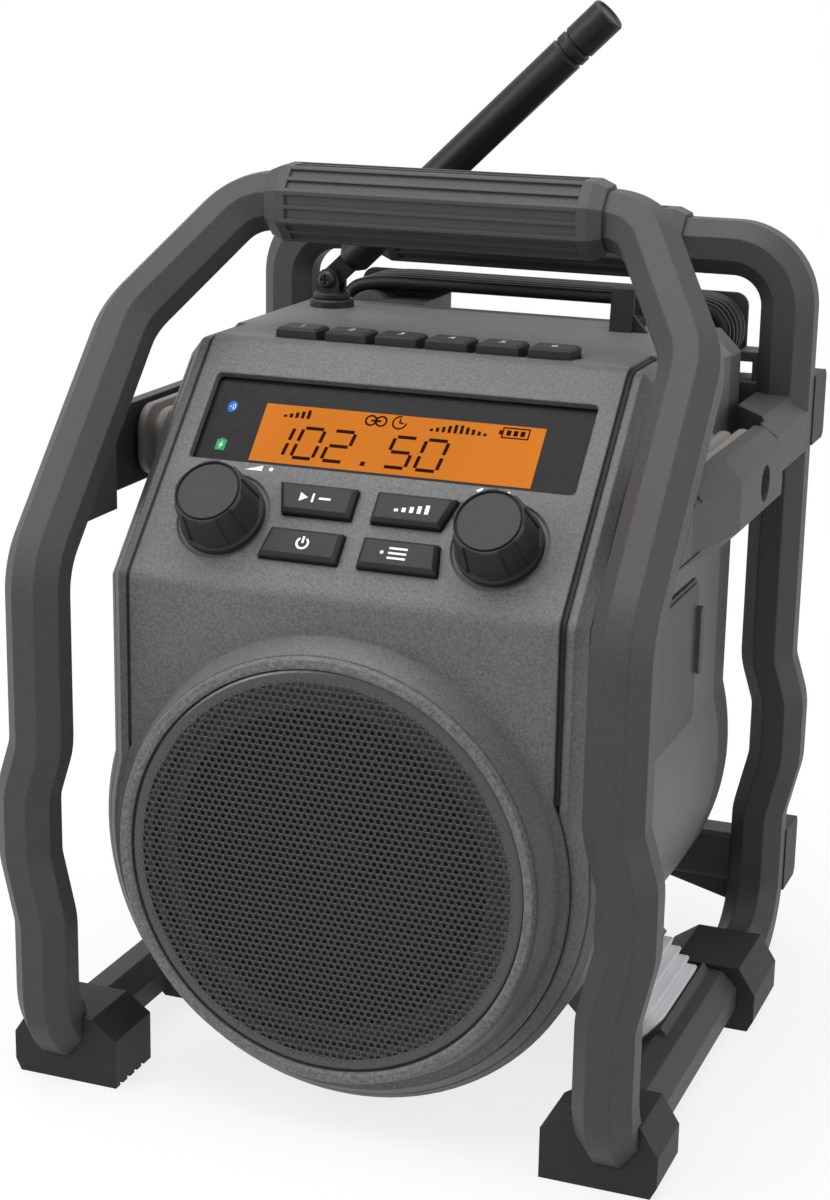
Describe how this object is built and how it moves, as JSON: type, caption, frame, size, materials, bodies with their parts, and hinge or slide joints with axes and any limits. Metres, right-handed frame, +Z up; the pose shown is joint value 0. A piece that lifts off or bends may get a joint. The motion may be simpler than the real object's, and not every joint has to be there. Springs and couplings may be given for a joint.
{
  "type": "jobsite radio",
  "caption": "Rugged portable radio hung on rubber mounts inside a roll cage of bent tube, with a round speaker, slanted control face, folding antenna and two carrying grips.",
  "frame": {"origin": "on the floor under the middle of the roll cage", "axes": "+Z up, the control face and speaker face -Y, +X to the right of someone facing the front"},
  "size_m": [0.224, 0.2286, 0.3522],
  "materials": {
    "cage": "fine texture",
    "grip": "ribbed",
    "foot_rubber": "matt",
    "mount_rubber": "satin",
    "housing": "fine texture",
    "housing_dark": "fine texture",
    "seal": "matt",
    "window": "polished",
    "display": "lit",
    "bezel": "textured",
    "grille": "perforated",
    "key": "soft",
    "knob": "soft",
    "black": "satin",
    "antenna": "satin",
    "steel": "plain",
    "board": "plain",
    "iron": "plain",
    "cone": "paper",
    "battery": "shrink wrap",
    "cord": "smooth"
  },
  "bodies": {
    "radio": {"antenna_clip": "housing_dark", "antenna_collar": "housing_dark", "battery_holder": "black", "battery_pack": "battery", "body_shell": "housing", "bottom_rail_left": "cage", "bottom_rail_right": "cage", "control_boards": "board", "cord_gland": "black", "cord_hooks": "housing_dark", "cord_plug": "cord", "cord_winding": "cord", "crossbar_lower": "cage", "crossbar_upper": "cage", "display_module": "display", "display_window": "window", "encoders": "board", "front_grip": "grip", "front_loop": "cage", "front_panel": "housing", "hinge_pins": "steel", "housing_screws": "steel", "jack_panel": "black", "lower_mounts": "mount_rubber", "main_board": "board", "mount_screws": "steel", "panel_gasket": "seal", "rear_bumpers": "foot_rubber", "rear_cover": "housing_dark", "rear_grip": "grip", "rear_loop": "cage", "rubber_feet": "foot_rubber", "side_bridge_left": "cage", "side_bridge_right": "cage", "speaker_bezel": "bezel", "speaker_frame": "iron", "speaker_grille": "grille", "transformer": "iron", "upper_mounts": "mount_rubber"},
    "key_1": {"preset_key_1": "key"},
    "key_2": {"preset_key_2": "key"},
    "key_3": {"preset_key_3": "key"},
    "key_4": {"preset_key_4": "key"},
    "key_5": {"preset_key_5": "key"},
    "key_6": {"preset_key_6": "key"},
    "button_upper_left_body": {"button_upper_left": "key"},
    "button_upper_right_body": {"button_upper_right": "key"},
    "button_lower_left_body": {"button_lower_left": "key"},
    "button_lower_right_body": {"button_lower_right": "key"},
    "knob_left_body": {"knob_left": "knob", "knob_shaft_left": "steel"},
    "knob_right_body": {"knob_right": "knob", "knob_shaft_right": "steel"},
    "antenna_base": {"antenna_fork": "black", "antenna_pivot_screw": "steel"},
    "antenna": {"antenna_rod": "antenna"},
    "port_cover_body": {"port_cover": "housing_dark"},
    "battery_door_body": {"battery_door": "housing_dark"},
    "door_latch_body": {"door_latch": "black"},
    "speaker_cone_body": {"speaker_cone": "cone"}
  },
  "joints": [
    {"name": "preset_key_1_press", "type": "slide", "parent": "radio", "child": "key_1", "axis": [0, 0, -1], "range_m": [0, 0.0012], "stiffness_N_per_m": 400, "springref_m": -0.0008},
    {"name": "preset_key_2_press", "type": "slide", "parent": "radio", "child": "key_2", "axis": [0, 0, -1], "range_m": [0, 0.0012], "stiffness_N_per_m": 400, "springref_m": -0.0008},
    {"name": "preset_key_3_press", "type": "slide", "parent": "radio", "child": "key_3", "axis": [0, 0, -1], "range_m": [0, 0.0012], "stiffness_N_per_m": 400, "springref_m": -0.0008},
    {"name": "preset_key_4_press", "type": "slide", "parent": "radio", "child": "key_4", "axis": [0, 0, -1], "range_m": [0, 0.0012], "stiffness_N_per_m": 400, "springref_m": -0.0008},
    {"name": "preset_key_5_press", "type": "slide", "parent": "radio", "child": "key_5", "axis": [0, 0, -1], "range_m": [0, 0.0012], "stiffness_N_per_m": 400, "springref_m": -0.0008},
    {"name": "preset_key_6_press", "type": "slide", "parent": "radio", "child": "key_6", "axis": [0, 0, -1], "range_m": [0, 0.0012], "stiffness_N_per_m": 400, "springref_m": -0.0008},
    {"name": "button_upper_left_press", "type": "slide", "parent": "radio", "child": "button_upper_left_body", "axis": [0, 0.731, -0.6824], "range_m": [0, 0.001], "stiffness_N_per_m": 500, "springref_m": -0.0008},
    {"name": "button_upper_right_press", "type": "slide", "parent": "radio", "child": "button_upper_right_body", "axis": [0, 0.731, -0.6824], "range_m": [0, 0.001], "stiffness_N_per_m": 500, "springref_m": -0.0008},
    {"name": "button_lower_left_press", "type": "slide", "parent": "radio", "child": "button_lower_left_body", "axis": [0, 0.731, -0.6824], "range_m": [0, 0.001], "stiffness_N_per_m": 500, "springref_m": -0.0008},
    {"name": "button_lower_right_press", "type": "slide", "parent": "radio", "child": "button_lower_right_body", "axis": [0, 0.731, -0.6824], "range_m": [0, 0.001], "stiffness_N_per_m": 500, "springref_m": -0.0008},
    {"name": "knob_left_turn", "type": "hinge", "parent": "radio", "child": "knob_left_body", "pos_m": [-0.0465, -0.0728, 0.19354], "axis": [0, -0.731, 0.6824], "continuous": true},
    {"name": "knob_right_turn", "type": "hinge", "parent": "radio", "child": "knob_right_body", "pos_m": [0.0465, -0.0728, 0.19354], "axis": [0, -0.731, 0.6824], "continuous": true},
    {"name": "antenna_swivel", "type": "hinge", "parent": "radio", "child": "antenna_base", "pos_m": [-0.062, 0.05, 0.243], "axis": [0, 0, 1], "range_deg": [-30, 30]},
    {"name": "antenna_tilt", "type": "hinge", "parent": "antenna_base", "child": "antenna", "pos_m": [-0.062, 0.05, 0.253], "axis": [0, -1, 0], "range_deg": [-43.5, 46.5]},
    {"name": "port_cover_hinge", "type": "hinge", "parent": "radio", "child": "port_cover_body", "pos_m": [0.0849, -0.034, 0.138], "axis": [0, 0, -1], "range_deg": [0, 110]},
    {"name": "battery_door_hinge", "type": "hinge", "parent": "radio", "child": "battery_door_body", "pos_m": [0, 0.0876, 0.0695], "axis": [-1, 0, 0], "range_deg": [0, 100]},
    {"name": "door_latch_slide", "type": "slide", "parent": "battery_door_body", "child": "door_latch_body", "axis": [0, 0, 1], "range_m": [0, 0.003]},
    {"name": "speaker_cone_stroke", "type": "slide", "parent": "radio", "child": "speaker_cone_body", "axis": [0, -1, 0], "range_m": [-0.0015, 0.0015], "stiffness_N_per_m": 1500}
  ]
}
